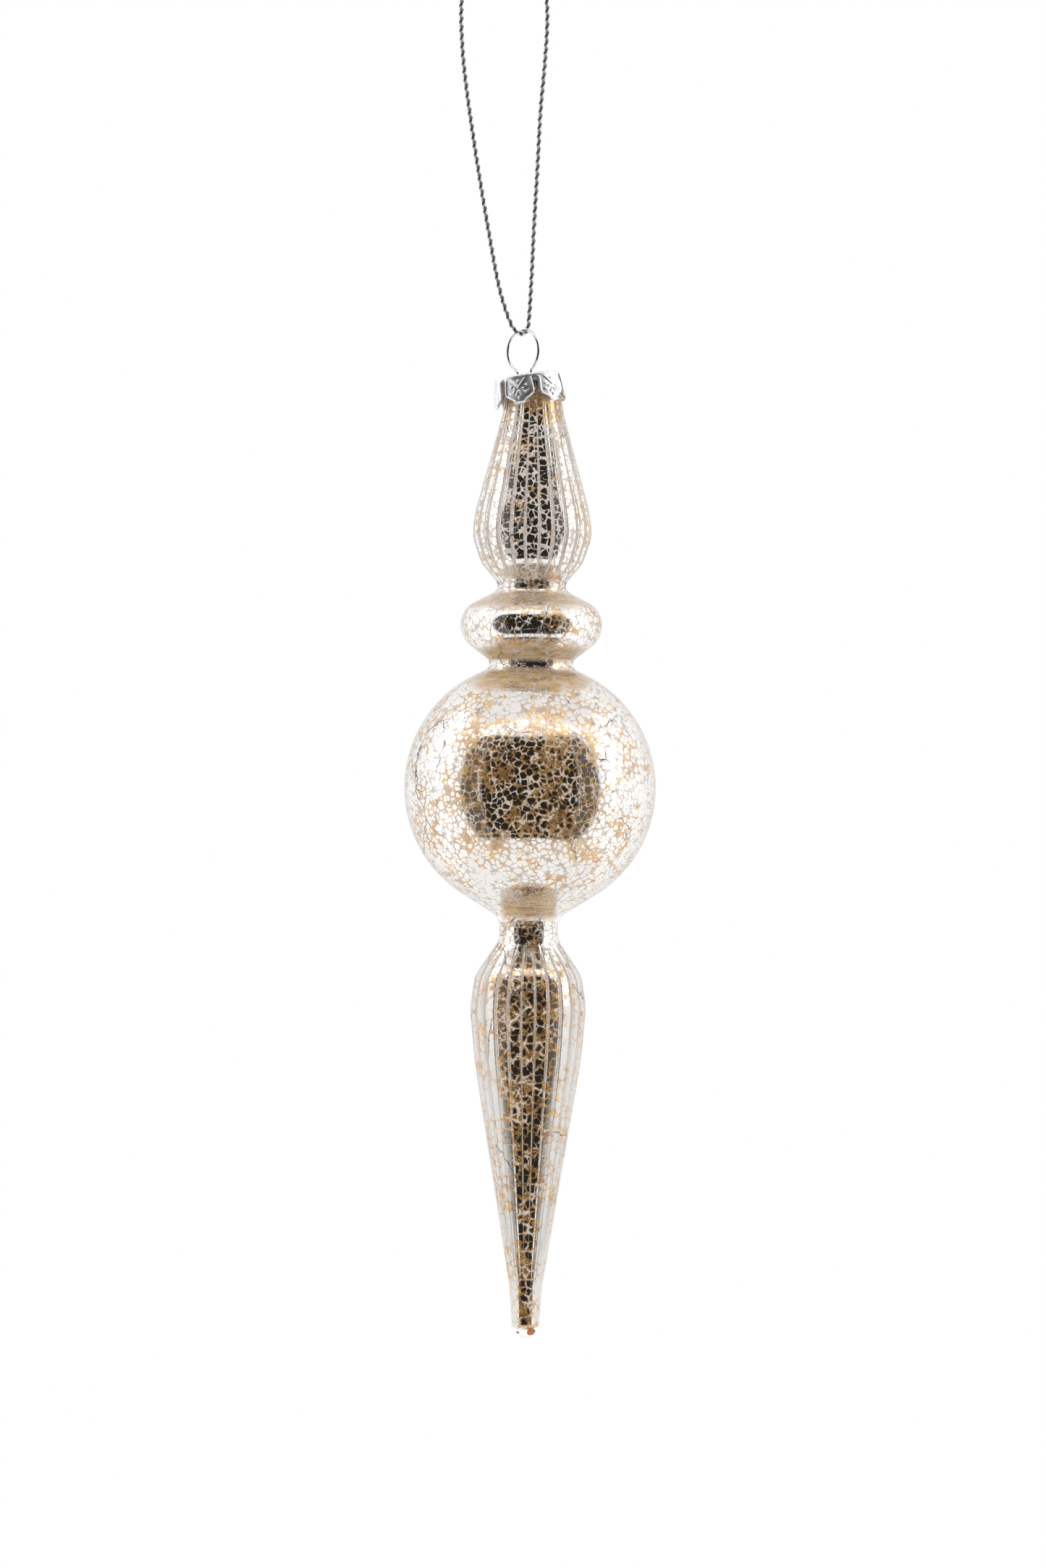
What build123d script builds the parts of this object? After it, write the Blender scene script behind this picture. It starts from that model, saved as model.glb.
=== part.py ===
from build123d import *

import os
from math import acos, atan2, cos, hypot, pi, radians, sin, tan

# Icicle hanging ornament: a blown glass finial with a crown cap, a wire loop and a hanging cord.
# Millimetres, +Z up, and -Y is the front. The origin is the underside of the cord loop's top, where
# a twig passes through it, and everything else hangs below.

# Glass body. Depths are measured down from its rim, along its own axis.
RIM_CENTRE = (5.95, -1.25, -85.82)
GLASS_LEAN = 0.5  # degrees, its foot towards -X
WALL = 0.85
CAVITY_DEPTH = 192.4  # below it the foot is solid glass
RIM_CUT = 3.4  # height of the cut that opens the neck
RIBS = 24
RIB_DEPTH = 0.45
RIB_FULL_RADIUS = 9.0  # the ribs are shallower where the glass is thinner than this
UPPER_RIBS = (-7.0, 41.0)  # the depths between which the glass is ribbed
LOWER_RIBS = (113.5, 186.0)
RIB_FADE = 7.0  # the depth over which a rib grows at its end
SECTION_STEP = 2.0  # along the outline, between two sections
SPHERE_RADIUS = 25.65
SPHERE_DEPTH = 82.85  # of its centre

# The outline above the sphere and below it: radius, depth and the radius that rounds the corner.
ABOVE_SPHERE = [
    (5.3, 0.0, 0.0),
    (6.15, 6.5, 22.0),
    (11.65, 26.8, 16.0),
    (12.25, 31.6, 8.0),
    (10.3, 37.3, 6.0),
    (6.1, 42.3, 1.4),
    (13.0, 45.8, 4.0),
    (14.85, 49.3, 4.5),
    (13.6, 53.1, 5.0),
    (7.2, 58.0, 1.3),
]
BELOW_SPHERE = [
    (6.0, 109.3, 3.0),
    (5.9, 113.7, 5.0),
    (10.9, 121.1, 8.0),
    (11.85, 127.7, 15.0),
    (10.9, 138.0, 60.0),
    (3.3, 184.6, 24.0),
    (2.75, 192.9, 1.5),
    (1.4, 194.8, 0.4),
    (0.0, 194.8, 0.0),
]

# Crown cap, in its own frame: the origin is the middle of its top face.
CAP_CENTRE = (4.5, -0.85, -84.65)
CAP_TILT = 8.3  # degrees, its +X side up
CAP_RADIUS = 6.7
SHEET = 0.28
PETALS = 6
PETAL_LENGTH = 6.2
PETAL_FLARE = 5.0  # degrees
FIRST_PETAL = -17.0  # degrees from the front towards +X
CORNER = 0.56  # outer radius of the bend between the top and the skirt
HOLE_RADIUS = 0.62
CUT_MARGIN = 1.0  # how far a cut reaches past the sheet

# Half of the gap between two petals: distance from its middle, height below the top.
GAP_OUTLINE = [(0.5, -0.75), (0.38, -2.0), (0.55, -3.7), (1.9, -4.75), (2.25, -5.35), (3.6, -6.35)]

# Hanger: one spring wire, a ring above the cap and two legs inside the neck.
WIRE_RADIUS = 0.325
RING_RADIUS = 4.4  # to the wire's centre
RING_TOP = (3.5, 0.0, -75.3)  # the wire's centre, where the cord passes under it
RING_TURN = 45.0  # degrees between the ring's plane and the front
RING_LEAN = 5.5  # degrees, its top towards -X
LEG_OFFSET = 1.9  # of each leg from the ring's middle
LEG_BEND = 0.8  # radius between the ring and a leg
SPREAD_BEND = 3.2  # radius where a leg turns outwards
LEG_STRAIGHT = 6.6  # from the ring's centre to where the legs spread
LEG_REACH = 14.0  # from the ring's centre to the legs' ends
LEG_SPREAD = (-0.7, 2.7)  # of the leg beside the glass and of the other one

# Cord: one length, tied into a loop.
CORD_RADIUS = 0.5
KNOT_RADIUS = 1.7
KNOT_HEIGHT = 1.9
TAIL_HEIGHT = 9.0
TAIL_ROOT = 0.55  # of each free end's centre from the knot's middle
TAIL_SPREAD = 2.2  # of its tip
ARC_SHARE = 0.45  # of the shorter run, from a corner to the start of its arc
CORD_ROUTE = [
    (-1.1, 0.0, 1.6),
    (-5.6, 0.0, -0.2),
    (-8.5, 0.1, -4.6),
    (-8.9, 0.1, -11.6),
    (-8.3, 0.0, -22.0),
    (-6.5, -0.2, -35.0),
    (-4.7, -0.5, -46.6),
    (-2.9, -0.8, -57.0),
    (-1.2, -1.2, -66.6),
    (0.6, -1.7, -72.6),
    (2.25, -1.25, -76.2),
    (4.75, 1.25, -76.2),
    (5.15, 1.6, -71.6),
    (5.6, 1.2, -64.0),
    (6.1, 0.8, -53.0),
    (6.8, 0.5, -42.0),
    (7.3, 0.3, -31.0),
    (8.3, 0.1, -21.0),
    (8.9, 0.0, -11.6),
    (8.4, 0.0, -4.6),
    (5.5, 0.0, -0.2),
    (1.1, 0.0, 1.6),
]


def touch_point(radius, depth):
    """Where a straight line from a point beside the sphere's pole touches the sphere."""
    below = SPHERE_DEPTH - depth
    side = 1 if below > 0 else -1
    away = hypot(radius, below)
    turn = atan2(radius, abs(below)) + acos(SPHERE_RADIUS / away)
    return SPHERE_RADIUS * sin(turn), SPHERE_DEPTH - side * SPHERE_RADIUS * cos(turn)


def glass_outline():
    """The glass's outer line from rim to foot, radius along X and depth along -Y."""
    start = touch_point(*ABOVE_SPHERE[-1][:2])
    end = touch_point(*BELOW_SPHERE[0][:2])
    above = [corner[:2] for corner in ABOVE_SPHERE] + [start]
    below = [end] + [corner[:2] for corner in BELOW_SPHERE]
    middle = (SPHERE_RADIUS, SPHERE_DEPTH)
    return [
        FilletPolyline(*[(r, -d) for r, d in above], radius=[c[2] for c in ABOVE_SPHERE[1:]]),
        ThreePointArc(*[(r, -d) for r, d in (start, middle, end)]),
        FilletPolyline(*[(r, -d) for r, d in below], radius=[c[2] for c in BELOW_SPHERE[:-1]]),
    ]


def rib_section(radius, groove, depth):
    """A cross-section of the glass: one outward arc for each rib, with a groove between two."""
    half = pi / RIBS
    edges = []
    for i in range(RIBS):
        middle = 2 * pi * i / RIBS
        points = [
            ((radius - g) * cos(a), (radius - g) * sin(a), -depth)
            for a, g in ((middle - half, groove), (middle, 0.0), (middle + half, groove))
        ]
        edges.append(Edge.make_three_point_arc(*points))
    return Face(Wire(edges))


def groove_depth(radius, depth):
    """How deep the grooves between ribs are: none on the smooth middle, fading in at its ends."""
    strength = 0.0
    for start, end in (UPPER_RIBS, LOWER_RIBS):
        near_end = min(depth - start, end - depth)
        strength = max(strength, sin(pi / 2 * min(max(near_end / RIB_FADE, 0.0), 1.0)) ** 2)
    return RIB_DEPTH * strength * min(radius / RIB_FULL_RADIUS, 1.0)


def glass_body():
    """The blown shell: ribbed above and below, smooth round the sphere, open at the neck."""
    pieces = glass_outline()
    sections = []
    for piece in pieces:
        count = round(piece.length / SECTION_STEP)
        sections += [piece @ (i / count) for i in range(count)]
    sections.append(pieces[-1].edges()[-1] @ 0)
    outer = loft([rib_section(p.X, groove_depth(p.X, -p.Y), -p.Y) for p in sections])
    length = BELOW_SPHERE[-1][1]
    edges = [edge for piece in pieces for edge in piece.edges()]
    rim_radius = ABOVE_SPHERE[0][0]
    edges += [Edge.make_line((0, -length), (0, 0)), Edge.make_line((0, 0), (rim_radius, 0))]
    half = make_face(Wire(edges))
    inner = offset(half + mirror(half, Plane.YZ), -WALL, kind=Kind.INTERSECTION)
    inner += Pos(0, -WALL) * Rectangle(2 * (rim_radius - WALL), RIM_CUT)
    above_tip = Pos(length / 2, WALL - CAVITY_DEPTH / 2) * Rectangle(length, CAVITY_DEPTH + 2 * WALL)
    cavity = revolve(Plane.XZ * (inner & above_tip), Axis.Z)
    return Pos(*RIM_CENTRE) * Rot(0, GLASS_LEAN, 0) * (outer - cavity)


def turned(vector, angle):
    """A horizontal direction, an angle in degrees from the front towards +X."""
    return vector * sin(radians(angle)), -vector * cos(radians(angle))


def hanger_plane():
    """The ring's own plane: X along the cap's two holes, Y up the loop, the origin at its centre."""
    turn, lean = radians(RING_TURN), radians(RING_LEAN)
    up = Vector(-sin(lean) * cos(turn), sin(lean) * sin(turn), cos(lean))
    along = Vector(cos(lean) * cos(turn), -cos(lean) * sin(turn), sin(lean))
    centre = Vector(*RING_TOP) - up * RING_RADIUS
    return Plane(origin=centre, x_dir=along, z_dir=along.cross(up))


def cap_place():
    """The crown cap's place: cocked on the neck."""
    return Pos(*CAP_CENTRE) * Rot(0, -CAP_TILT, 0)


def hole_centres():
    """Where the hanger's two legs cross the cap's top, in the cap's own frame."""
    plane, place = hanger_plane(), cap_place()
    top = Plane(place)
    centres = []
    for side in (-LEG_OFFSET, LEG_OFFSET):
        start = plane.from_local_coords(Vector(side, 0, 0))
        down = -plane.y_dir
        reach = (top.origin - start).dot(top.z_dir) / down.dot(top.z_dir)
        centres.append(top.to_local_coords(start + down * reach))
    return centres


def crown_cap():
    """A pressed sheet cap: a round top with two holes and a skirt cut into six petals."""
    flare = PETAL_LENGTH * tan(radians(PETAL_FLARE))
    outer = [(0, 0), (CAP_RADIUS, 0), (CAP_RADIUS + flare, -PETAL_LENGTH)]
    inner = [(0, -SHEET), (CAP_RADIUS - SHEET, -SHEET), (CAP_RADIUS + flare - SHEET, -PETAL_LENGTH)]
    outside = FilletPolyline(*outer, radius=CORNER)
    inside = FilletPolyline(*inner, radius=CORNER - SHEET)
    section = make_face(Wire([*outside.edges(), *inside.edges(),
                              Edge.make_line(outer[0], inner[0]),
                              Edge.make_line(outer[-1], inner[-1])]))
    cap = revolve(Plane.XZ * section, Axis.Z)
    right = list(GAP_OUTLINE) + [(GAP_OUTLINE[-1][0], -PETAL_LENGTH - CUT_MARGIN)]
    left = [(-x, z) for x, z in reversed(right)]
    gap = make_face(Wire([Edge.make_spline(right[:-1]),
                          Edge.make_line(right[-2], right[-1]),
                          Edge.make_line(right[-1], left[0]),
                          Edge.make_line(left[0], left[1]),
                          Edge.make_spline(left[1:]),
                          Edge.make_line(left[-1], right[0])]))
    for i in range(PETALS):
        angle = FIRST_PETAL + (i + 0.5) * 360 / PETALS
        outward = Vector(*turned(1.0, angle), 0)
        side = Plane(origin=(0, 0, 0), x_dir=Vector(0, 0, 1).cross(outward), z_dir=outward)
        cap -= extrude(side * gap, amount=2 * CAP_RADIUS)
    for centre in hole_centres():
        cap -= Pos(centre.X, centre.Y, 0) * Cylinder(HOLE_RADIUS, 2 * (SHEET + CUT_MARGIN))
    return cap_place() * cap


def hanger_spring():
    """One wire: down a leg, round the ring and down the other leg."""
    bend_x = LEG_OFFSET + LEG_BEND
    bend_y = -((RING_RADIUS + LEG_BEND) ** 2 - bend_x**2) ** 0.5
    share = RING_RADIUS / (RING_RADIUS + LEG_BEND)
    touch = (bend_x * share, bend_y * share)
    mid_angle = (atan2(touch[1] - bend_y, touch[0] - bend_x) + pi) / 2
    middle = (bend_x + LEG_BEND * cos(mid_angle), bend_y + LEG_BEND * sin(mid_angle))
    edges = [Edge.make_three_point_arc(touch, (0, RING_RADIUS), (-touch[0], touch[1]))]
    for side, spread in ((-1, LEG_SPREAD[0]), (1, LEG_SPREAD[1])):
        start, through, top = [(side * x, y) for x, y in (touch, middle, (LEG_OFFSET, bend_y))]
        edges.append(Edge.make_three_point_arc(start, through, top))
        knee = (side * LEG_OFFSET, -LEG_STRAIGHT)
        tip = (side * LEG_OFFSET + spread, -LEG_REACH)
        edges += FilletPolyline(top, knee, tip, radius=SPREAD_BEND).edges()
    path = hanger_plane() * Wire(edges)
    return sweep(Plane(path @ 0, z_dir=path % 0) * Circle(WIRE_RADIUS), path=path)


def arc_radii(route):
    """The radius at each inner point of a route: as large as its two runs allow."""
    radii = []
    for a, b, c in zip(route, route[1:], route[2:]):
        before, after = Vector(*b) - Vector(*a), Vector(*c) - Vector(*b)
        half = radians(before.get_angle(after)) / 2
        radii.append(ARC_SHARE * min(before.length, after.length) / tan(half))
    return radii


def hanging_cord():
    """One cord from the knot down, under the ring's wire and up to the knot again."""
    radii = arc_radii(CORD_ROUTE)
    path = FilletPolyline(*CORD_ROUTE, radius=radii)
    print("cord arc radii, mm:", [round(radius, 1) for radius in radii])
    cord = sweep(Plane(path @ 0, z_dir=path % 0) * Circle(CORD_RADIUS), path=path)
    print("cord length, mm:", round(path.length, 1),
          "volume over section times length:", round(cord.volume / (pi * CORD_RADIUS**2 * path.length), 4))
    return cord


def cord_knot():
    """The overhand knot that closes the loop, with the cord's two free ends."""
    knot = Pos(0, 0, KNOT_HEIGHT) * Sphere(KNOT_RADIUS)
    for side in (-1, 1):
        root = (side * TAIL_ROOT, 0, KNOT_HEIGHT)
        tip = (side * TAIL_SPREAD, 0, KNOT_HEIGHT + TAIL_HEIGHT)
        tail = Polyline(root, tip)
        knot += sweep(Plane(tail @ 0, z_dir=tail % 0) * Circle(CORD_RADIUS), path=tail)
    return knot


NODES = {
    "glass_body": glass_body,
    "crown_cap": crown_cap,
    "hanger_spring": hanger_spring,
    "hanging_cord": hanging_cord,
    "cord_knot": cord_knot,
}

os.makedirs("parts", exist_ok=True)
for name, make in NODES.items():
    solid = make()
    solid.label = name
    export_step(solid, f"parts/{name}.step")
    print(name, "volume, mm3:", round(solid.volume, 2))
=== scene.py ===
"""Icicle hanging ornament: silvered crackle glass, crown cap, wire loop and twisted metallic cord.

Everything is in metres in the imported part's frame, +Z up and -Y the front. Lengths named in
millimetres are turned into metres by MM where a mesh is made.
"""

from math import acos, atan2, ceil, cos, hypot, pi, radians, sin, tan

import bmesh
import bpy
import numpy as np
from mathutils import Matrix, Vector


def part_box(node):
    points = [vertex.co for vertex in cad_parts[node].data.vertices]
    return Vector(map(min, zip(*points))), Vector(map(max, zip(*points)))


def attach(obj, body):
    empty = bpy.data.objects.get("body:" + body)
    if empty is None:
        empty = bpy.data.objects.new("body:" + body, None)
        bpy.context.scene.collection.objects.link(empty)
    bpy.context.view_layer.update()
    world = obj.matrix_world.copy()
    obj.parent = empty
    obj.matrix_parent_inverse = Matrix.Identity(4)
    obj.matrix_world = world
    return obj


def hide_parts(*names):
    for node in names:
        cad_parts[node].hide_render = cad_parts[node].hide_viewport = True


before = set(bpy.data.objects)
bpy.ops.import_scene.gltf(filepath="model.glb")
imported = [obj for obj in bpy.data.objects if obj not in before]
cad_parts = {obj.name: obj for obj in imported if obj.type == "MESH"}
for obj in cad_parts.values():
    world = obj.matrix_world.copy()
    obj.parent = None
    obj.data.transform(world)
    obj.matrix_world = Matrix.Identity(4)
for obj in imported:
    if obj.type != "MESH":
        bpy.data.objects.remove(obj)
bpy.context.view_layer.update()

MM = 0.001

# The picture's frame at the ornament: its middle and its height, and how far the camera stands.
VIEW_CENTRE = (0.0038, -0.1679)
VIEW_HEIGHT = 0.3196
CAMERA_DISTANCE = 1.1
SENSOR = 36.0

# Glass, in millimetres. Depths are measured down from its rim, along its own axis.
RIM_CENTRE = (5.95, -1.25, -85.82)
GLASS_LEAN = 0.5  # degrees, its foot towards -X
WALL = 0.85
CAVITY_DEPTH = 192.4
RIBS = 24
RIB_DEPTH = 0.42
WORN_FROM = 0.85  # share of that depth left at the lower drop's top
WORN_MORE = 0.45  # and how much less of it is left further down
WORN_DEPTHS = (128.0, 144.0)
REED_SHARE = 0.58  # of a rib's half width, nearly round; the rest is the groove's steep side
REED_CROWN = 0.16  # of the rib depth, in the reed's own roundness
GROOVE_CURVE = 1.35
REED_POINTS = [0.0, 0.28, 0.5, 0.62, 0.74, 0.87, 1.0]  # from a rib's middle to its groove
RIB_FULL_RADIUS = 9.0
UPPER_RIBS = (-7.0, 41.0)
LOWER_RIBS = (113.5, 186.0)
RIB_FADE = 7.0
SPHERE_RADIUS = 25.65
SPHERE_DEPTH = 82.85
# Corners of the outline: the radius, the depth and the radius that rounds the corner.
ABOVE_SPHERE = [
    (5.3, 0.0, 0.0),
    (6.15, 6.5, 22.0),
    (11.65, 26.8, 16.0),
    (12.25, 31.6, 8.0),
    (10.3, 37.3, 6.0),
    (6.1, 42.3, 1.4),
    (13.0, 45.8, 4.0),
    (14.85, 49.3, 4.5),
    (13.6, 53.1, 5.0),
    (7.2, 58.0, 1.3),
]
BELOW_SPHERE = [
    (6.0, 109.3, 3.0),
    (5.9, 113.7, 5.0),
    (10.9, 121.1, 8.0),
    (11.85, 127.7, 15.0),
    (10.9, 138.0, 60.0),
    (3.3, 184.6, 24.0),
    (2.75, 192.97, 2.4),
    (2.01, 194.13, 2.4),
    (0.74, 194.8, 2.4),
    (0.0, 194.8, 0.0),
]
FOOT_DEPTH = 190.0  # the outline's points are closer together below this
NEAR_AXIS = 0.05  # nothing is made closer to the axis than this
ROUND_STEP = radians(4.0)  # of turn between two points on a rounded corner
OUTER_STEP = 0.94
FOOT_STEP = 0.3
INNER_STEP = 2.5
LINING_STEP = 1.05
LINING_BACK_STEP = 2.6
LINING_INSET = WALL - 0.06  # just inside the glass, so that no gap shows
LINING_TOP = 0.8
LINING_BACK_END = CAVITY_DEPTH - 0.6
LINING_THICKNESS = (0.08, 0.5)  # thin in the neck, where the wire's legs are
LINING_THICKENS = (14.0, 24.0)
DOME_DEPTH = 0.9
DOME_TURNS = np.linspace(0, 1.4, 8)[1:]  # radians from the edge of the dome at the lining's foot

# The silvering, in millimetres: heights between which each zone of it comes in.
NECK_START = (-95.5, -91.0)
UPPER_GROOVE_HIGHLIGHTS = (-127.0, -121.0)
UPPER_LINES = (-132.0, -124.0)
BALL_HEAD = (-157.0, -152.0)
BALL_FOOT = (-185.0, -180.0)
BALL_REACH = (12.0, 16.0)  # sideways from the axis
DROP_START = (-206.0, -200.0)
LOWER_GROOVE_HIGHLIGHTS = (-234.0, -208.0)
DROP_WIDENS = (-243.0, -222.0)  # the lower drop's mirror middle, between its painted white sides, grows wider upwards
DROP_WIDER = 0.2  # by this share of its radius
DROP_HEIGHTS = (-270.4, -215.0)
DROP_RADII = (3.3, 11.85)  # at those heights
DROP_SIDES = (0.32, 0.5)  # shares of its radius between which its sides, seen from the front, turn dull white: a painted reflection
# how far the lower drop's sides lose their mirror and turn dull white: a painted reflection of the white
# cloth
PAINTED_WHITE_SIDES = 0.74
DROP_MIDDLE = -203.0  # the lower drop's islands grow from here
DROP_CELLS = 0.8  # the pattern's scale there, as a share of the rest's
CELL_SCALE = 0.8  # islands of silvering for each millimetre
CELL_RANDOMNESS = 0.9
CELL_BEND = 1.5
CORNER_CELLS = (0.42, 0.72)  # distance from an island's middle where its corners come in
CORNER_WIDTH = 0.2
RAGGED = 0.06  # how far the edges wander, each way
LINE_WIDTH = (-0.03, 0.09)
LINE_EDGE = (-0.012, 0.02)
LINE_CORNERS = 0.3  # share of the corners' width that goes to the lines
LINE_ABOVE_DROP = 0.035  # lines are narrower by this everywhere above the lower drop
LINE_UPPER_DROP = 0.035  # and wider by this on the upper drop
LINE_ON_DROP = (0.09, 0.02)  # narrower by this on the lower drop, from clear patches to amber ones
LINE_LESS = 0.05  # narrower by this at the neck and on the lower drop's painted white sides
AMBER_WIDTH = (-0.18, 0.07)
AMBER_EDGE = (-0.02, 0.03)
AMBER_MORE = {"neck": 0.2, "ball": 0.2, "drop": 0.17}
AMBER_LESS = 0.22  # narrower by this on the lower drop's painted white sides
SPECKS = 0.5  # how much of the amber its small specks take away
CRACK_SCALE = 0.07  # of the few long dark cracks
CRACK_WIDTH = (0.003, 0.008)
GROOVE_HIGHLIGHT = (0.66, 0.74)  # of the way from a rib's middle to its groove, where a pale line paints a highlight
GROOVE_ON_DROP = 0.06  # and this much nearer to the groove on the lower drop
GROOVE_AT_NECK = 0.8  # share of the painted groove highlights that the neck loses
STREAK_SCALE = (260, 260, 3200)  # long round the glass and short along it
# Gold streaks at the waists: the middle height, the half height, the strength and the reach sideways.
STAINS = [
    (-88.0, 3.0, 0.5, 20.0),
    (-130.6, 2.0, 0.7, 20.0),
    (-141.4, 1.6, 0.9, 14.0),
    (-147.2, 2.3, 1.0, 13.0),
    (-192.4, 3.0, 1.0, 6.0),
]
# Drops of lacquer in the foot: along X and Y from its middle, the height and the radius.
LACQUER_DROPS = [(1.05, -0.95, -279.15, 0.8), (-1.3, -0.8, -279.2, 0.3), (0.4, -1.6, -277.2, 0.35)]
LACQUER_FLATNESS = 0.8  # a drop's height as a share of its width
FOOT_SHIFT = 1.69  # how far the lean takes the foot's middle towards -X

# Colours and ramps of colours.
GLASS_CLEAR = (1.0, 0.985, 0.975)
# painted shade: the darker pinkish colour the glass takes where it is seen edge-on
PAINTED_EDGE_SHADE = (0.74, 0.66, 0.63)
GLASS_IOR = 1.47
SILVER = ((0.88, 0.865, 0.84), (0.92, 0.91, 0.89))
AMBER = [(0.3, (0.40, 0.19, 0.04)), (0.5, (0.84, 0.42, 0.06)), (0.7, (0.98, 0.66, 0.20))]
AMBER_IOR = 4.0
GOLD = [(0.4, (0.62, 0.34, 0.09)), (0.6, (1.0, 0.78, 0.44))]
PINK = [(0.35, (0.80, 0.70, 0.62)), (0.65, (0.92, 0.86, 0.81))]
CRACK = (0.10, 0.085, 0.08)
LACQUER = [(0.35, (0.50, 0.13, 0.02)), (0.65, (0.75, 0.27, 0.05))]
WARMTH = [(0.0, (1.0, 0.84, 0.70)), (0.5, (1.0, 1.0, 1.0))]  # of the tent's light, by its brightness
# Metals: the colour, the roughness and the scale of the fine marks each way.
CAP_METAL = ((0.93, 0.935, 0.95), 0.42, (900, 900, 300))
WIRE_METAL = ((0.80, 0.79, 0.77), 0.12, (1500, 1500, 250))
# Foil threads: the colours of their dark and their bright filaments.
DARK_THREAD = ((0.08, 0.08, 0.085), (0.28, 0.28, 0.29))
SILVER_THREAD = ((0.60, 0.60, 0.62), (0.96, 0.96, 0.96))

# The light tent: angles in degrees, of turn from the front and of rise, and strengths of light.
OPENING_HALF_TURN = 67
OPENING_HALF_RISE = 48
OPENING_SQUARENESS = 5.0
CORE_HALF_TURN = 46  # the darkest part of the opening; its flanks are a little lighter
SLIT_TURN = 47  # a thin slit of light between the core and each flank
SLIT_FADE = (0.3, 1.1)  # degrees from its middle where it fades
DARK_LIGHT = 0.022
FLANK_LIGHT = 0.10
SLIT_LIGHT = 0.5
SIDE_LIGHT = 1.12  # of the cloth at the sides and in front
BACK_LIGHT = 1.0
TOP_SHARE = 0.8  # what is left of that overhead
TO_BACK = (100, 170)  # turns between which the sides' light changes to the back's
TO_TOP = (44, 58)  # rises between which it changes overhead
LAMP_SQUARENESS = 4.0
# Where soft edges begin and end: 0 is the middle of a rounded rectangle and 1 is its outline.
CORE_EDGE = (0.6, 1.9)
OPENING_EDGE = (0.8, 1.25)
SLIT_END = (0.5, 0.8)
LAMP_EDGE = (0.5, 1.5)
DULL_LIGHT = 1.3  # what dull surfaces get, evenly from all sides
BAR_RISE = 61
BAR_DROOP = 0.2  # how the bar lamp curves down at its sides
BAR_LAMP = (64, 4, 3.2)  # half its turn, half its rise and its strength
SIDE_LAMPS = [(86, 24, 10, 19, 1.8), (-104, 30, 12, 20, 0.8)]  # turn and rise, then the same as for the bar

# The floor, in metres.
FLOOR_HEIGHT = -0.62
FLOOR_RADIUS = 0.42
FLOOR_POINTS = 96
FLOOR_COLOUR = (0.76, 0.76, 0.755, 1.0)

# Crown cap, in millimetres and degrees: its place and tilt, then its shape in its own frame.
CAP_CENTRE = (4.5, -0.85, -84.65)
CAP_TILT = 8.3
CAP_RADIUS = 6.7
SHEET = 0.28
PETALS = 6
PETAL_LENGTH = 6.2
PETAL_FLARE = 5.0
FIRST_PETAL = -17.0
HOLE_RADIUS = 0.62
HOLE_SIDES = 40
DRILL_LENGTH = 4.0
SHARP_ANGLE = 40.0  # degrees between two faces whose edge stays sharp
CAP_CORNER = 0.5
CORNER_POINTS = 9
CAP_SIDES = 144
BAND = 0.2  # the skirt's unbroken band under the rounded edge
PETAL_GAP = 0.55  # half the gap between two petals
PETAL_BORDER = 0.004  # by which petals stay apart on the band
PETAL_PINCH = 0.06  # half a petal is narrower by this at its root, and wider by it at its shoulder
GAP_ROUND = 0.42  # depth below the band where the gap reaches its full width
SHOULDER = 3.0  # depth below the band where a petal starts to narrow
LOBE = 4.8  # depth below the band where its round end begins
LOBE_HALF_WIDTH = 1.4
LOBE_CURVE = 1.3
LOBE_TIP = 0.01  # keeps a little width at the petal's very end
PETAL_COLUMNS = 57
PETAL_ROWS = 84
PETAL_CURVE = 0.12  # how far a petal curves out, most at half of PETAL_CURVE_LENGTH
PETAL_CURVE_LENGTH = 4.6
PRESSED_FROM = 0.4  # depth below the band where the pressed pattern is at its full height
# The petal's pressed pattern, half of it: across and below the band, in millimetres.
STROKES = [((1.5, 0.25), (0.0, 2.0)), ((0.12, 2.75), (0.55, 3.45))]
DOTS = [((0.0, 0.75), 0.26), ((1.55, 1.75), 0.22), ((0.85, 2.3), 0.2), ((0.0, 4.05), 0.3)]
CURL_CENTRE = (1.45, 2.55)
CURL_RADIUS = 0.55
CURL_TOP = 2.6  # depth below the band where the curls, which are half circles, begin
# How far the parts of the pattern stand out and how wide they are.
BORDER = (0.20, 0.2)
BORDER_INSET = 0.28
STROKE = (0.16, 0.17)
DOT_HEIGHT = 0.17
CURL = (0.15, 0.16)
PLAIN_DEPTH = 0.05  # the sheet between them is pressed back by this
PLAIN_EDGE = 0.02  # and left as it is this close to the petal's edge
# The outline of the cap's round top: radius and height, with a pressed step near its edge.
TOP_LINE = [
    (0.0, 0.0), (3.9, 0.0), (4.15, -0.05), (4.4, -0.16),
    (4.7, -0.2), (5.0, -0.16), (5.3, -0.04), (5.6, 0.0),
]

# Hanger wire, in millimetres and degrees.
WIRE_RADIUS = 0.325
RING_RADIUS = 4.4
RING_TOP = (3.5, 0.0, -75.3)
RING_TURN = 45.0
RING_LEAN = 5.5
LEG_OFFSET = 1.9
LEG_BEND = 0.8
LEG_STRAIGHT = 6.6
LEG_REACH = 14.0
LEG_SPREAD = (-0.7, 2.7)
RING_POINTS = 97
BEND_POINTS = 9
WIRE_STEP = 0.18
WIRE_SIDES = 16

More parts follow.
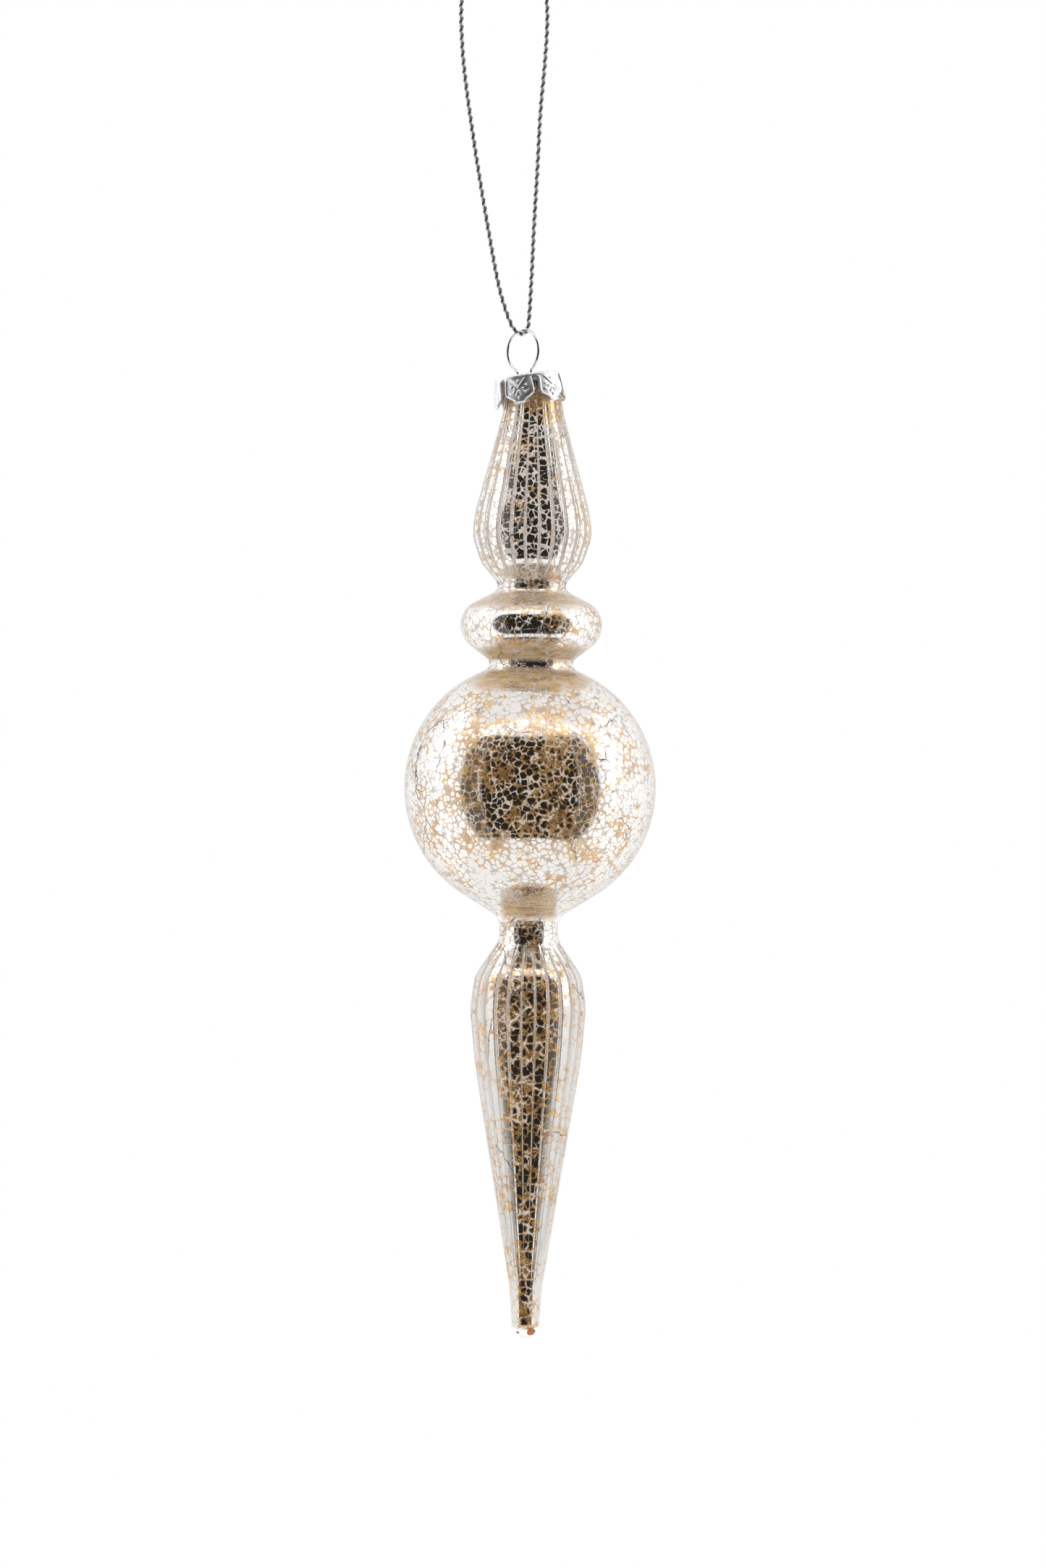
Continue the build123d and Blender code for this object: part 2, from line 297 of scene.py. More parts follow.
# Cord, in metres.
CORD_DIAMETER = 0.001
PLY_PITCH = 0.0017
PLY_OFFSET = 0.22 * CORD_DIAMETER
PLY_RADIUS = 0.26 * CORD_DIAMETER
PLY_STEP = 0.00013
PLY_SIDES = 8
KNOT_SIZE = 0.0005
KNOT_POINTS = 160
TAIL_POINTS = 24
CORD_ROUTE = [
    (-0.0011, 0.0, 0.0016),
    (-0.0056, 0.0, -0.0002),
    (-0.0085, 0.0001, -0.0046),
    (-0.0089, 0.0001, -0.0116),
    (-0.0083, 0.0, -0.0220),
    (-0.0065, -0.0002, -0.0350),
    (-0.0047, -0.0005, -0.0466),
    (-0.0029, -0.0008, -0.0570),
    (-0.0012, -0.0012, -0.0666),
    (0.0006, -0.0017, -0.0726),
    (0.00225, -0.00125, -0.0762),
    (0.00475, 0.00125, -0.0762),
    (0.00515, 0.0016, -0.0716),
    (0.0056, 0.0012, -0.0640),
    (0.0061, 0.0008, -0.0530),
    (0.0068, 0.0005, -0.0420),
    (0.0073, 0.0003, -0.0310),
    (0.0083, 0.0001, -0.0210),
    (0.0089, 0.0, -0.0116),
    (0.0084, 0.0, -0.0046),
    (0.0055, 0.0, -0.0002),
    (0.0011, 0.0, 0.0016),
]


# ---------------------------------------------------------------- small helpers

def mesh_piece(name, points, faces, smooth=True):
    """A mesh object from points in metres and faces."""
    mesh = bpy.data.meshes.new(name)
    mesh.from_pydata([tuple(p) for p in points], [], faces)
    mesh.update()
    mesh.polygons.foreach_set("use_smooth", [smooth] * len(mesh.polygons))
    piece = bpy.data.objects.new(name, mesh)
    bpy.context.scene.collection.objects.link(piece)
    return piece


def grid_faces(rows, columns, closed):
    """Quads of a grid of points, its columns closed into a ring or not."""
    faces = []
    for i in range(rows - 1):
        for j in range(columns if closed else columns - 1):
            k = (j + 1) % columns
            faces.append((i * columns + j, i * columns + k, (i + 1) * columns + k, (i + 1) * columns + j))
    return faces


def held(value):
    """A value, held between 0 and 1."""
    return min(max(value, 0.0), 1.0)


def distances(points):
    """How far along a line each of its points is."""
    return np.concatenate([[0], np.cumsum(np.linalg.norm(np.diff(points, axis=0), axis=1))])


def directions(points):
    """The unit direction of a line at each of its points."""
    along = np.gradient(points, axis=0)
    return along / np.linalg.norm(along, axis=1)[:, None]


def spaced(points, step):
    """Points of a line again, about step apart."""
    points = np.asarray(points, float)
    along = distances(points)
    at = np.linspace(0, along[-1], max(2, ceil(along[-1] / step) + 1))
    return np.stack([np.interp(at, along, points[:, k]) for k in range(points.shape[1])], axis=1)


def end_faces(rows, around):
    """The faces that close the first and the last ring of a grid."""
    last = (rows - 1) * around
    return tuple(reversed(range(around))), tuple(range(last, last + around))


def face_outward(piece):
    """Turns the faces of a closed mesh outwards."""
    mesh = bmesh.new()
    mesh.from_mesh(piece.data)
    bmesh.ops.recalc_face_normals(mesh, faces=mesh.faces)
    mesh.to_mesh(piece.data)
    mesh.free()


# ---------------------------------------------------------------- glass outline

def rounded(corners):
    """The corners' line, radius and depth, with each corner rounded by its own radius."""
    line = [corners[0][:2]]
    for before, (*corner, size), after in zip(corners, corners[1:], corners[2:]):
        corner = np.array(corner)
        into = corner - before[:2]
        into = into / np.linalg.norm(into)
        out = after[:2] - corner
        out = out / np.linalg.norm(out)
        turn = atan2(into[0] * out[1] - into[1] * out[0], into @ out)
        start = corner - into * (size * tan(abs(turn) / 2))
        side = np.array([-into[1], into[0]]) * (1 if turn > 0 else -1)
        centre = start + side * size
        arm = start - centre
        steps = max(2, ceil(abs(turn) / ROUND_STEP))
        for i in range(steps + 1):
            a = turn * i / steps
            line.append((centre[0] + arm[0] * cos(a) - arm[1] * sin(a),
                         centre[1] + arm[0] * sin(a) + arm[1] * cos(a)))
    line.append(corners[-1][:2])
    return line


def touch_turn(radius, depth):
    """The sphere's polar angle where a line from a point beside its pole touches it."""
    below = SPHERE_DEPTH - depth
    return atan2(radius, abs(below)) + acos(SPHERE_RADIUS / hypot(radius, below))


def glass_outline():
    """The outline from rim to foot: radius and depth."""
    first = touch_turn(*ABOVE_SPHERE[-1][:2])
    last = pi - touch_turn(*BELOW_SPHERE[0][:2])
    steps = ceil((last - first) / ROUND_STEP)
    turns = [first + (last - first) * i / steps for i in range(steps + 1)]
    ball = [(SPHERE_RADIUS * sin(a), SPHERE_DEPTH - SPHERE_RADIUS * cos(a)) for a in turns]
    above = rounded([*ABOVE_SPHERE, (*ball[0], 0.0)])
    below = rounded([(*ball[-1], 0.0), *BELOW_SPHERE])
    return np.array(above[:-1] + ball + below[1:])


def inward(outline, distance):
    """The outline moved into the glass."""
    along = directions(outline)
    moved = outline + distance * np.stack([-along[:, 1], along[:, 0]], axis=1)
    return moved[moved[:, 0] > NEAR_AXIS]


def groove_strength(depth, radius):
    """How deep the grooves between ribs are, from 0 to 1."""
    strength = 0.0
    for start, end in (UPPER_RIBS, LOWER_RIBS):
        near_end = min(depth - start, end - depth)
        strength = max(strength, sin(pi / 2 * held(near_end / RIB_FADE)) ** 2)
    worn = 1.0
    if depth > LOWER_RIBS[0]:
        worn = WORN_FROM - WORN_MORE * held((depth - WORN_DEPTHS[0]) / (WORN_DEPTHS[1] - WORN_DEPTHS[0]))
    return strength * worn * min(radius / RIB_FULL_RADIUS, 1.0)


def glass_place():
    """Turns points about the glass's own axis, in millimetres, into the frame, in metres."""
    return Matrix.Translation(Vector(RIM_CENTRE) * MM) @ Matrix.Rotation(radians(GLASS_LEAN), 4, "Y")


def around_ribs():
    """Angles round the glass, close together at the grooves, and how deep the groove is at each."""
    shares = [*(-share for share in REED_POINTS[-2:0:-1]), *REED_POINTS]
    angles, grooves = [], []
    for rib in range(RIBS):
        for share in shares:
            angles.append((rib + share / 2) * 2 * pi / RIBS)
            steep = max(0.0, (abs(share) - REED_SHARE) / (1 - REED_SHARE))
            grooves.append(REED_CROWN * share**2 + (1 - REED_CROWN) * steep**GROOVE_CURVE)
    return np.array(angles), np.array(grooves)


def turned_surface(outline):
    """Points of the ribbed surface of revolution, one row for each outline point, and a row's length."""
    place = np.array(glass_place())
    angles, grooves = around_ribs()
    rows = []
    for radius, depth in outline:
        r = radius - RIB_DEPTH * groove_strength(depth, radius) * grooves
        rows.append(np.stack([r * np.cos(angles), r * np.sin(angles), np.full(len(r), -depth)], axis=1))
    points = np.concatenate(rows) * MM
    return points @ place[:3, :3].T + place[:3, 3], len(angles)


# ---------------------------------------------------------------- materials

class Nodes:
    """A node tree, with short ways to add and join nodes."""

    def __init__(self, tree):
        self.tree = tree
        tree.nodes.clear()

    def add(self, kind, **settings):
        node = self.tree.nodes.new("ShaderNode" + kind)
        for key, value in settings.items():
            setattr(node, key, value)
        return node

    def put(self, value, socket):
        """Joins an output to a socket, or sets the socket to a constant."""
        if isinstance(value, bpy.types.NodeSocket):
            self.tree.links.new(value, socket)
        else:
            socket.default_value = value

    def split(self, vector):
        parts = self.add("SeparateXYZ")
        self.put(vector, parts.inputs[0])
        return parts.outputs

    def math(self, operation, a, b=0.0, clamp=False):
        node = self.add("Math", operation=operation, use_clamp=clamp)
        self.put(a, node.inputs[0])
        self.put(b, node.inputs[1])
        return node.outputs[0]

    def chain(self, operation, first, rest):
        """One value made from several, taken in turn."""
        for value in rest:
            first = self.math(operation, first, value)
        return first

    def plus(self, first, *rest):
        return self.chain("ADD", first, rest)

    def minus(self, first, *rest):
        return self.chain("SUBTRACT", first, rest)

    def times(self, first, *rest):
        return self.chain("MULTIPLY", first, rest)

    def most(self, first, *rest):
        return self.chain("MAXIMUM", first, rest)

    def over(self, a, b):
        return self.math("DIVIDE", a, b)

    def power(self, a, b):
        return self.math("POWER", a, b)

    def size(self, value):
        return self.math("ABSOLUTE", value)

    def vector_math(self, operation, a, b):
        node = self.add("VectorMath", operation=operation)
        self.put(a, node.inputs[0])
        self.put(b, node.inputs["Scale" if operation == "SCALE" else 1])
        return node.outputs[0]

    def remap(self, value, low, high, to_low=0.0, to_high=1.0, smooth=False):
        """A value between low and high as one between to_low and to_high, held at its ends."""
        node = self.add("MapRange", interpolation_type="SMOOTHSTEP" if smooth else "LINEAR")
        for socket, v in zip(node.inputs[:5], (value, low, high, to_low, to_high)):
            self.put(v, socket)
        return node.outputs[0]

    def ramp(self, value, stops):
        """Colours between stops, each a place from 0 to 1 and its colour."""
        node = self.add("ValToRGB")
        self.put(value, node.inputs[0])
        elements = node.color_ramp.elements
        while len(elements) < len(stops):
            elements.new(0.5)
        for element, (place, colour) in zip(elements, stops):
            element.position = place
            element.color = (*colour, 1.0)
        return node.outputs[0]


class Material(Nodes):
    """A material with one principled shader."""

    def __init__(self, name):
        self.material = bpy.data.materials.new(name)
        self.material.use_nodes = True
        super().__init__(self.material.node_tree)
        output = self.add("OutputMaterial")
        self.shader = self.add("BsdfPrincipled")
        self.put(self.shader.outputs[0], output.inputs["Surface"])

    def shade(self, **values):
        """Sets the shader's own sockets, named with _ for a space."""
        for key, value in values.items():
            self.put(value, self.shader.inputs[key.replace("_", " ")])

    def position(self, scale=(1000, 1000, 1000)):
        """The point on the object, in millimetres when scale is 1000."""
        place = self.add("TexCoord")
        mapping = self.add("Mapping")
        self.put(place.outputs["Object"], mapping.inputs["Vector"])
        mapping.inputs["Scale"].default_value = scale
        return mapping.outputs[0]

    def noise(self, vector, scale, detail=2.0, rough=0.5, output="Fac"):
        node = self.add("TexNoise")
        self.put(vector, node.inputs["Vector"])
        node.inputs["Scale"].default_value = scale
        node.inputs["Detail"].default_value = detail
        node.inputs["Roughness"].default_value = rough
        return node.outputs[output]

    def cells(self, vector, feature, scale, randomness=1.0):
        """A distance in a pattern of rounded cells."""
        node = self.add("TexVoronoi", feature=feature)
        self.put(vector, node.inputs["Vector"])
        node.inputs["Scale"].default_value = scale
        node.inputs["Randomness"].default_value = randomness
        return node.outputs["Distance"]

    def mix(self, factor, a, b):
        node = self.add("Mix", data_type="RGBA")
        self.put(factor, node.inputs[0])
        for value, socket in ((a, node.inputs[6]), (b, node.inputs[7])):
            self.put((*value, 1.0) if isinstance(value, tuple) else value, socket)
        return node.outputs[2]

    def bump(self, height, distance, strength):
        node = self.add("Bump")
        node.inputs["Strength"].default_value = strength
        node.inputs["Distance"].default_value = distance
        self.put(height, node.inputs["Height"])
        self.put(node.outputs[0], self.shader.inputs["Normal"])


def clear_glass():
    """Blown glass: clear, with faint ripples, and a painted darker, pinker shade at its edges, where it is
    seen edge-on.
    """
    m = Material("clear_blown_glass")
    m.bump(m.noise(m.position((400, 400, 150)), 0.35), 0.00004, 0.5)
    facing = m.add("LayerWeight")
    facing.inputs["Blend"].default_value = 0.5
    # The edge colour is painted shade: it follows how edge-on the glass is seen, standing in for the
    # reflections at its rim.
    edge = m.remap(facing.outputs["Facing"], 0.72, 0.97)
    m.shade(Base_Color=m.mix(edge, GLASS_CLEAR, PAINTED_EDGE_SHADE), Roughness=0.015, IOR=GLASS_IOR,
            Transmission_Weight=1.0)
    return m.material


def lining_line(m, at, cells_edge, corner, ragged, patches):
    """Where the pinkish lines between the islands are, and the pale lines along the grooves that paint a
    highlight there: 0 or 1.

    Widths here and in lining_amber are in the pattern's own unit, about the size of an island.
    """
    width = m.plus(m.remap(m.noise(at["place"], 0.5), 0.38, 0.62, *LINE_WIDTH), ragged)
    width = m.plus(width, m.times(corner, LINE_CORNERS))
    width = m.minus(width, m.times(m.minus(1.0, at["drop"]), LINE_ABOVE_DROP))
    width = m.plus(width, m.remap(at["z"], *UPPER_LINES, 0.0, LINE_UPPER_DROP, smooth=True))
    width = m.minus(width, m.times(at["drop"], m.remap(patches, 0.4, 0.55, *LINE_ON_DROP)))
    width = m.minus(width, m.times(at["beside"], LINE_LESS), m.times(at["neck"], LINE_LESS))
    line = m.remap(m.minus(cells_edge, width), *LINE_EDGE, 1.0, 0.0)

    # Pale lines along the grooves: a painted highlight down each rib valley.
    groove_highlight = m.times(m.math("PINGPONG", m.times(at["turn"], RIBS / 2 / pi), 0.5), 2.0)
    groove_highlight = m.minus(m.plus(groove_highlight, m.times(ragged, 1.5)), m.times(at["drop"], GROOVE_ON_DROP))
    groove_highlight = m.remap(groove_highlight, *GROOVE_HIGHLIGHT)
    upper = m.minus(m.remap(at["z"], *UPPER_GROOVE_HIGHLIGHTS), m.times(at["neck"], GROOVE_AT_NECK))
    ribbed = m.most(upper, m.times(at["drop"], m.remap(at["z"], *LOWER_GROOVE_HIGHLIGHTS)))
    return m.most(line, m.times(groove_highlight, ribbed))


def lining_amber(m, at, cells_edge, corner, ragged, patches):
    """How much amber there is round the islands, from 0 to 1, with small specks left out."""
    width = m.plus(m.remap(patches, 0.42, 0.6, *AMBER_WIDTH), m.times(ragged, 1.5), corner)
    for zone, more in AMBER_MORE.items():
        width = m.plus(width, m.times(at[zone], more))
    width = m.minus(width, m.times(at["beside"], AMBER_LESS))
    rim = m.remap(m.minus(cells_edge, width), *AMBER_EDGE, 1.0, 0.0)
    specks = m.remap(m.noise(at["place"], 6.5, 1.0), 0.42, 0.5)
    return m.times(rim, m.minus(1.0, m.times(specks, SPECKS)))


def lining_stain(m, at, streak):
    """How strong the gold streaks at the waists are, from 0 to 1."""
    stain = 0.0
    for middle, half, strength, reach in STAINS:
        away = m.size(m.minus(at["z"], middle))
        band = m.remap(away, half * 0.4, half * 1.3, strength, 0.0, smooth=True)
        band = m.times(band, m.remap(at["off_axis"], reach * 0.7, reach, 1.0, 0.0, smooth=True))
        stain = m.most(stain, band)
    return m.math("MULTIPLY", stain, m.remap(streak, 0.30, 0.46), clamp=True)


def lining_zones(m, place):
    """The places on the silvering that the other parts of its look depend on."""
    x, y, z = m.split(place)
    depth = m.minus(RIM_CENTRE[2], z)
    axis_x = m.minus(RIM_CENTRE[0], m.times(depth, sin(radians(GLASS_LEAN))))
    side = m.minus(x, axis_x)
    turn = m.math("ARCTAN2", m.minus(y, RIM_CENTRE[1]), side)
    off_axis = m.size(side)
    drop = m.remap(z, *DROP_START, 1.0, 0.0, smooth=True)
    drop_radius = m.remap(z, *DROP_HEIGHTS, *DROP_RADII)
    beside = m.minus(m.over(off_axis, drop_radius), m.remap(z, *DROP_WIDENS, 0.0, DROP_WIDER))
    beside = m.times(drop, m.remap(beside, *DROP_SIDES))
    ball = m.times(m.remap(z, *BALL_FOOT), m.remap(z, *BALL_HEAD, 1.0, 0.0))
    ball = m.times(ball, m.remap(off_axis, *BALL_REACH, 1.0, 0.0))
    neck = m.remap(z, *NECK_START)
    return {"place": place, "z": z, "turn": turn, "off_axis": off_axis, "drop": drop, "beside": beside,
            "ball": ball, "neck": neck}


def crackled_silver():
    """Silvering broken into rounded islands, with pinkish lines and amber rims between them."""
    m = Material("crackled_silvering")
    place = m.position()
    at = lining_zones(m, place)
    warp = m.vector_math("SUBTRACT", m.noise(place, 0.6, 3.0, output="Color"), (0.5, 0.5, 0.5))
    bent = m.vector_math("ADD", place, m.vector_math("SCALE", warp, CELL_BEND))
    bent = m.vector_math("SUBTRACT", bent, (0.0, 0.0, DROP_MIDDLE))
    bent = m.vector_math("SCALE", bent, m.remap(at["drop"], 0.0, 1.0, 1.0, DROP_CELLS))
    cells_edge = m.cells(bent, "DISTANCE_TO_EDGE", CELL_SCALE, CELL_RANDOMNESS)
    corner = m.cells(bent, "F1", CELL_SCALE, CELL_RANDOMNESS)
    corner = m.remap(corner, *CORNER_CELLS, 0.0, CORNER_WIDTH)
    ragged = m.remap(m.noise(place, 2.4), 0.3, 0.7, -RAGGED, RAGGED)
    patches = m.noise(place, 0.16, 3.0)
    # line holds the pinkish lines between islands and the painted highlights along the grooves.
    line = lining_line(m, at, cells_edge, corner, ragged, patches)
    amber = lining_amber(m, at, cells_edge, corner, ragged, patches)
    streak = m.noise(m.position(STREAK_SCALE), 1.0, 3.0, 0.6)
    stain = lining_stain(m, at, streak)

    tone = m.noise(place, 0.7)
    tint = m.remap(amber, 0.0, 0.5)
    clouds = m.remap(m.noise(place, 0.4), 0.35, 0.65)
    colour = m.mix(tint, m.mix(clouds, *SILVER), m.ramp(tone, AMBER))
    colour = m.mix(stain, colour, m.ramp(streak, GOLD))
    colour = m.mix(line, colour, m.ramp(tone, PINK))

    here = m.remap(m.noise(place, 0.09, 1.0), 0.54, 0.6)
    crack = m.cells(bent, "DISTANCE_TO_EDGE", CRACK_SCALE)
    crack = m.times(m.remap(crack, *CRACK_WIDTH, 1.0, 0.0), here)
    colour = m.mix(crack, colour, CRACK)

    lost = m.most(line, m.times(amber, 0.8), m.times(stain, 0.9), crack)
    m.bump(m.plus(m.times(lost, 0.25), m.noise(place, 0.8)), 0.00002, 0.6)
    # The lower drop's sides, seen from the front, lose their mirror and turn dull white: a painted
    # reflection of the white cloth.
    lost_and_painted_sides = m.most(lost, m.times(at["beside"], PAINTED_WHITE_SIDES))
    # Amber has a high IOR, so that bright light on it stays white and only its dark parts look amber.
    m.shade(Base_Color=colour, Metallic=m.math("SUBTRACT", 1.0, lost_and_painted_sides, clamp=True),
            Roughness=m.remap(lost, 0.0, 1.0, 0.05, 0.4),
            IOR=m.remap(m.minus(tint, line), 0.0, 1.0, 1.45, AMBER_IOR))
    return m.material


def amber_lacquer():
    """The drops of brown lacquer that gathered in the foot."""
    m = Material("amber_lacquer")
    m.shade(Base_Color=m.ramp(m.noise(m.position(), 2.0), LACQUER), Roughness=0.3)
    return m.material


def bright_metal(name, colour, roughness, grain):
    """Bright pressed or drawn metal with fine marks."""
    m = Material(name)
    marks = m.noise(m.position(grain), 1.0, 3.0)
    m.bump(marks, 0.00002, 0.35)
    tone = m.remap(marks, 0.3, 0.7)
    dull = tuple(c * 0.86 for c in colour)
    m.shade(Base_Color=m.mix(tone, dull, colour), Metallic=1.0,
            Roughness=m.remap(marks, 0.3, 0.7, roughness * 1.4, roughness * 0.8))
    return m.material


def foil_thread(name, dark, bright):
    """A ply of foil thread, with fine filaments along it."""
    m = Material(name)
    flakes = m.noise(m.position((6000, 6000, 2500)), 1.0, 2.0, 0.6)
    m.bump(flakes, 0.00005, 0.8)
    m.shade(Base_Color=m.mix(m.remap(flakes, 0.42, 0.58), dark, bright), Metallic=1.0,
            Roughness=m.remap(flakes, 0.35, 0.65, 0.42, 0.26))
    return m.material


# ---------------------------------------------------------------- pieces

def silver_lining(outline):
    """The silvering on the glass's inner wall, a closed layer of its own, and drops of lacquer."""
    face = inward(spaced(outline[:-1], LINING_STEP), LINING_INSET)
    face = face[(face[:, 1] > LINING_TOP) & (face[:, 1] < CAVITY_DEPTH)]
    foot_radius, foot_depth = face[-1]
    dome = [(foot_radius * cos(a), foot_depth + DOME_DEPTH * sin(a)) for a in DOME_TURNS]
    back = spaced(outline[:-1], LINING_BACK_STEP)
    inset = WALL + np.interp(back[:, 1], LINING_THICKENS, LINING_THICKNESS)
    back = inward(back, inset[:, None])
    back = back[(back[:, 1] > LINING_TOP) & (back[:, 1] < LINING_BACK_END)]
    rows = np.concatenate([dome[::-1], face[::-1], back])
    points, around = turned_surface(rows)
    faces = [*grid_faces(len(rows), around, True), *end_faces(len(rows), around)]
    lining = mesh_piece("silver_lining", points, faces)
    whole = bmesh.new()
    whole.from_mesh(lining.data)
    for x, y, z, radius in LACQUER_DROPS:
        at = Matrix.Translation(Vector((RIM_CENTRE[0] - FOOT_SHIFT + x, RIM_CENTRE[1] + y, z)) * MM)
        at = at @ Matrix.Diagonal((radius * MM, radius * MM, radius * LACQUER_FLATNESS * MM, 1.0))
        lacquer = bmesh.ops.create_icosphere(whole, subdivisions=3, radius=1.0, matrix=at)
        for part in {f for v in lacquer["verts"] for f in v.link_faces}:
            part.material_index = 1
            part.smooth = True
    bmesh.ops.recalc_face_normals(whole, faces=whole.faces)
    whole.to_mesh(lining.data)
    whole.free()
    return lining


def glass_shell(outline):
    """The clear glass: its outer wall, inner wall and cut rim, closed."""
    foot = outline[:, 1] > FOOT_DEPTH
    outer = np.concatenate([spaced(outline[~foot], OUTER_STEP), spaced(outline[foot][:-1], FOOT_STEP)])
    inner = spaced(inward(outline, WALL), INNER_STEP)
    inner = inner[(inner[:, 1] < CAVITY_DEPTH) & (inner[:, 1] > 0.0)][::-1]
    rows = np.concatenate([outer[::-1], [(outer[0][0] - WALL / 2, 0.0)], inner[::-1]])
    points, around = turned_surface(rows)
    faces = [face[::-1] for face in (*grid_faces(len(rows), around, True), *end_faces(len(rows), around))]
    shell = mesh_piece("glass_shell", points, faces)
    face_outward(shell)
    return shell


def read_route():
    """The points of the cord's own smooth line."""
    data = bpy.data.curves.new("route", "CURVE")
    data.dimensions = "3D"
    data.resolution_u = 24
    spline = data.splines.new("NURBS")
    spline.points.add(len(CORD_ROUTE) - 1)
    for point, place in zip(spline.points, CORD_ROUTE):
        point.co = (*place, 1.0)
    spline.order_u = 3
    spline.use_endpoint_u = True
    holder = bpy.data.objects.new("route", data)
    mesh = bpy.data.meshes.new_from_object(holder)
    points = np.array([v.co for v in mesh.vertices], float)
    bpy.data.meshes.remove(mesh)
    bpy.data.objects.remove(holder)
    return points


def carried_axes(line):
    """Two directions across a line at each of its points, carried along it without twisting."""
    along = directions(line)
    side = np.cross(along[0], (0.0, 1.0, 0.0))
    sides = []
    for direction in along:
        side = side - direction * (side @ direction)
        side = side / np.linalg.norm(side)
        sides.append(side)
    sides = np.array(sides)
    return sides, np.cross(along, sides)


def tube(line, radius, around):
    """Points and faces of a round tube along a line, with closed ends."""
    sides, ups = carried_axes(line)
    angles = 2 * pi * np.arange(around)[None, :, None] / around
    rings = np.cos(angles) * sides[:, None, :] + np.sin(angles) * ups[:, None, :]
    points = (line[:, None, :] + rings * radius).reshape(-1, 3)
    return points, [*grid_faces(len(line), around, True), *end_faces(len(line), around)]


def joined(name, parts):
    """One mesh object from several lots of points and faces, its two materials taking turns."""
    points, faces, materials, start = [], [], [], 0
    for number, (some_points, some_faces) in enumerate(parts):
        points.append(some_points)
        faces += [tuple(i + start for i in face) for face in some_faces]
        materials += [number % 2] * len(some_faces)
        start += len(some_points)
    piece = mesh_piece(name, np.concatenate(points), faces)
    piece.data.polygons.foreach_set("material_index", materials)
    return piece


def twisted(line):
    """Two plies wound round a line."""
    line = spaced(line, PLY_STEP)
    sides, ups = carried_axes(line)
    along = distances(line)
    parts = []
    for start in (0.0, 0.5):
        angle = 2 * pi * (along / PLY_PITCH + start)
        strand = line + PLY_OFFSET * (np.cos(angle)[:, None] * sides + np.sin(angle)[:, None] * ups)
        parts.append(tube(strand, PLY_RADIUS, PLY_SIDES))
    return parts


def twisted_cord():
    """The cord's loop, and the line that it follows."""
    line = read_route()
    return joined("twisted_cord", twisted(line)), line


def cord_knot():
    """The overhand knot at the top of the loop, and the cord's two free ends."""
    low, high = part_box("cord_knot")
    centre = np.array([(low.x + high.x) / 2, (low.y + high.y) / 2, low.z + (high.y - low.y) / 2])
    turns = np.linspace(0, 2 * pi, KNOT_POINTS)
    reach = 2 + np.cos(3 * turns)
    knot = np.stack([reach * np.cos(2 * turns), np.sin(3 * turns), reach * np.sin(2 * turns)], axis=1)
    parts = twisted(centre + KNOT_SIZE * knot)
    rise = np.linspace(0, 1, TAIL_POINTS)
    for side in (-1, 1):
        across = side * (0.5 + 1.5 * rise + 0.35 * np.sin(4 * rise)) * MM
        forward = 0.25 * MM * np.sin(3 * rise)
        up = (high.z - centre[2] - CORD_DIAMETER) * rise
        parts += twisted(centre + np.stack([across, forward, up], axis=1))
    return joined("knot_with_tails", parts)


def ring_plane():
    """The ring's centre, in metres, the direction along the cap's holes and the one up the loop."""
    turn, lean = radians(RING_TURN), radians(RING_LEAN)
    up = Vector((-sin(lean) * cos(turn), sin(lean) * sin(turn), cos(lean)))
    along = Vector((cos(lean) * cos(turn), -cos(lean) * sin(turn), sin(lean)))
    centre = Vector(RING_TOP) - up * RING_RADIUS
    return centre * MM, along, up


def hanger_wire():
    """One wire: a leg, a bend, the ring, a bend and the other leg."""
    bend_x = LEG_OFFSET + LEG_BEND
    bend_y = -((RING_RADIUS + LEG_BEND) ** 2 - bend_x**2) ** 0.5
    at = atan2(bend_y, bend_x)
    ring = [(RING_RADIUS * cos(a), RING_RADIUS * sin(a)) for a in np.linspace(at, pi - at, RING_POINTS)]
    ends = []
    for side, spread in ((1, LEG_SPREAD[1]), (-1, LEG_SPREAD[0])):
        turn = np.linspace(at + pi, pi, BEND_POINTS)
        bend = [(side * (bend_x + LEG_BEND * cos(a)), bend_y + LEG_BEND * sin(a)) for a in turn]
        straight, low = side * LEG_OFFSET, 1 - LEG_STRAIGHT
        foot = (straight + spread, -LEG_REACH)
        lean = [(straight * (1 - t**2) + (straight + spread / 6) * t**2, low - (LEG_REACH + low) * t / 4)
                for t in np.linspace(0, 1, BEND_POINTS)]
        ends.append(bend[1:] + lean + [foot])
    flat = np.array(ends[1][::-1] + ring[::-1] + ends[0])
    centre, along, up = ring_plane()
    line = np.array(centre) + MM * (flat[:, :1] * np.array(along) + flat[:, 1:] * np.array(up))
    return joined("hanger_wire", [tube(spaced(line, WIRE_STEP * MM), WIRE_RADIUS * MM, WIRE_SIDES)])


def cap_matrix():
    """From the cap's own frame into the part's."""
    return Matrix.Translation(Vector(CAP_CENTRE) * MM) @ Matrix.Rotation(-radians(CAP_TILT), 4, "Y")


def skirt_radius(depth):
    """The skirt's outer radius at a depth below the cap's top."""
    return CAP_RADIUS + depth * tan(radians(PETAL_FLARE))


